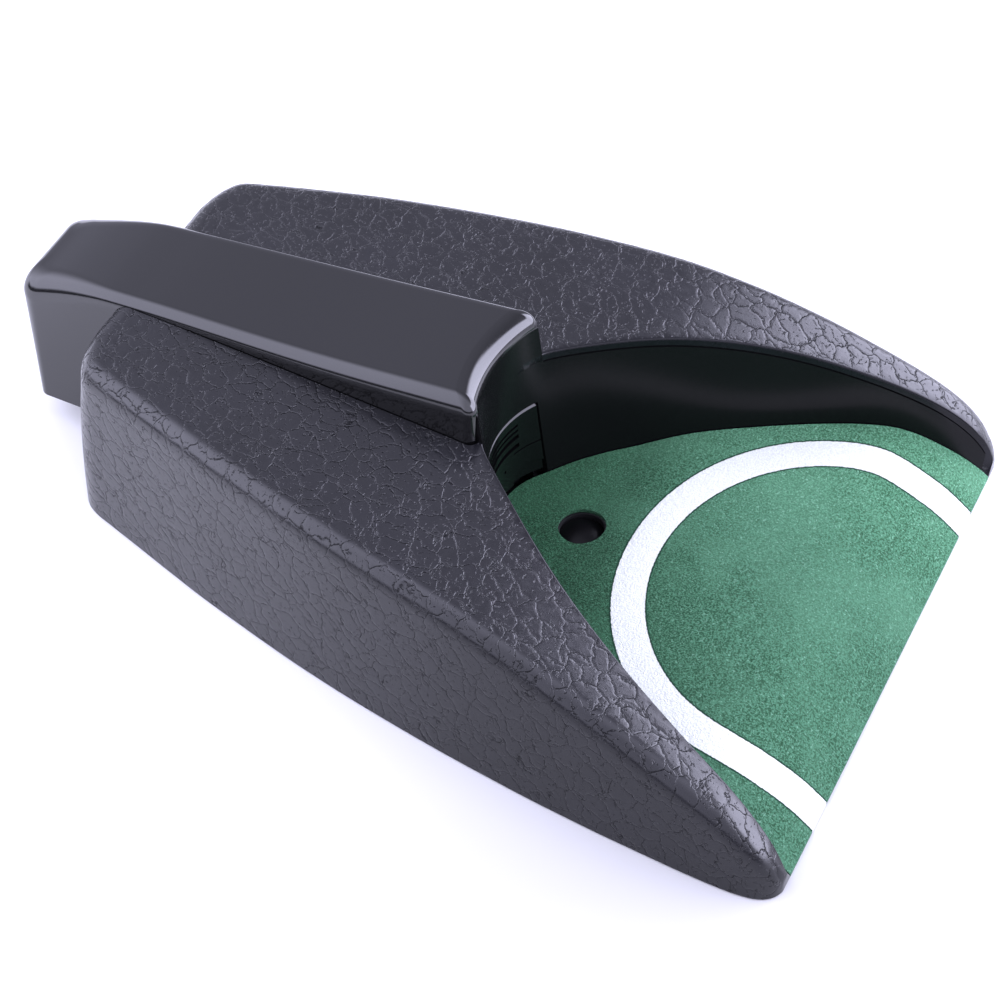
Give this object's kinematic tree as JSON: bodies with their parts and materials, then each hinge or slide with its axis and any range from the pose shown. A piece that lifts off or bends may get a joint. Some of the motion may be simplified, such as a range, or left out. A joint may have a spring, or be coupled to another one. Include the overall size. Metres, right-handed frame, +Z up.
{
  "type": "automatic putting cup",
  "caption": "Floor-standing putting practice cup with a felt ramp, a ball trigger and a solenoid kicker that returns the ball.",
  "frame": {"origin": "centre of the footprint's box, on the standing surface under the rubber feet", "axes": "+Z up, the mouth of the ramp faces -Y, X runs across between the two wings, and X = 0 is the plane of symmetry of the outside"},
  "size_m": [0.1814, 0.267, 0.0696],
  "materials": {
    "shell": "satin crackle grain",
    "gloss": "gloss",
    "base": "satin",
    "felt": "matt felt with a white printed line",
    "steel": "satin",
    "winding": "enamelled copper wire",
    "trigger": "gloss",
    "switch": "matt",
    "light_plastic": "matt",
    "board": "satin",
    "capacitor": "gloss",
    "relay": "gloss",
    "cell": "gloss",
    "rubber": "matt"
  },
  "bodies": {
    "housing": {"housing_shell": "shell", "spine_cover": "gloss", "cup_liner": "gloss", "base_plate": "base", "ramp_deck": "base", "felt_mat": "felt", "kicker_pin": "steel", "kicker_spring": "steel", "solenoid_frame": "steel", "solenoid_coil": "winding", "trigger_switch": "switch", "circuit_board": "board", "storage_capacitor": "capacitor", "relay": "relay", "battery_tray": "base", "battery_cells": "cell", "battery_contacts": "steel", "battery_door": "base", "power_switch": "switch", "rubber_feet": "rubber", "housing_screws": "steel", "cover_screws": "steel", "deck_screws": "steel", "solenoid_screws": "steel", "board_screws": "steel", "door_screw": "steel"},
    "kicker": {"kicker_plate": "gloss"},
    "core": {"solenoid_core": "steel"},
    "trigger": {"trigger_cap": "trigger", "switch_button": "light_plastic", "trigger_spring": "steel"},
    "slider": {"power_slider": "light_plastic"}
  },
  "joints": [
    {"name": "core_stroke", "type": "slide", "parent": "housing", "child": "core", "axis": [0, -1, 0], "range_m": [0, 0.0067], "stiffness_N_per_m": 150, "springref_m": -0.001},
    {"name": "kicker_swing", "type": "hinge", "parent": "housing", "child": "kicker", "pos_m": [0, -0.0185, 0.0065], "axis": [1, 0, 0], "range_deg": [0, 18]},
    {"name": "trigger_press", "type": "slide", "parent": "housing", "child": "trigger", "axis": [0, 0, -1], "range_m": [0, 0.0017], "stiffness_N_per_m": 100, "springref_m": -0.0015, "deforming": ["trigger_spring"]},
    {"name": "power_slide", "type": "slide", "parent": "housing", "child": "slider", "axis": [0, 1, 0], "range_m": [0, 0.0045]}
  ],
  "couplings": [
    {"joint": "kicker_swing", "follows": "core_stroke", "rad_per_m": 46.6}
  ]
}
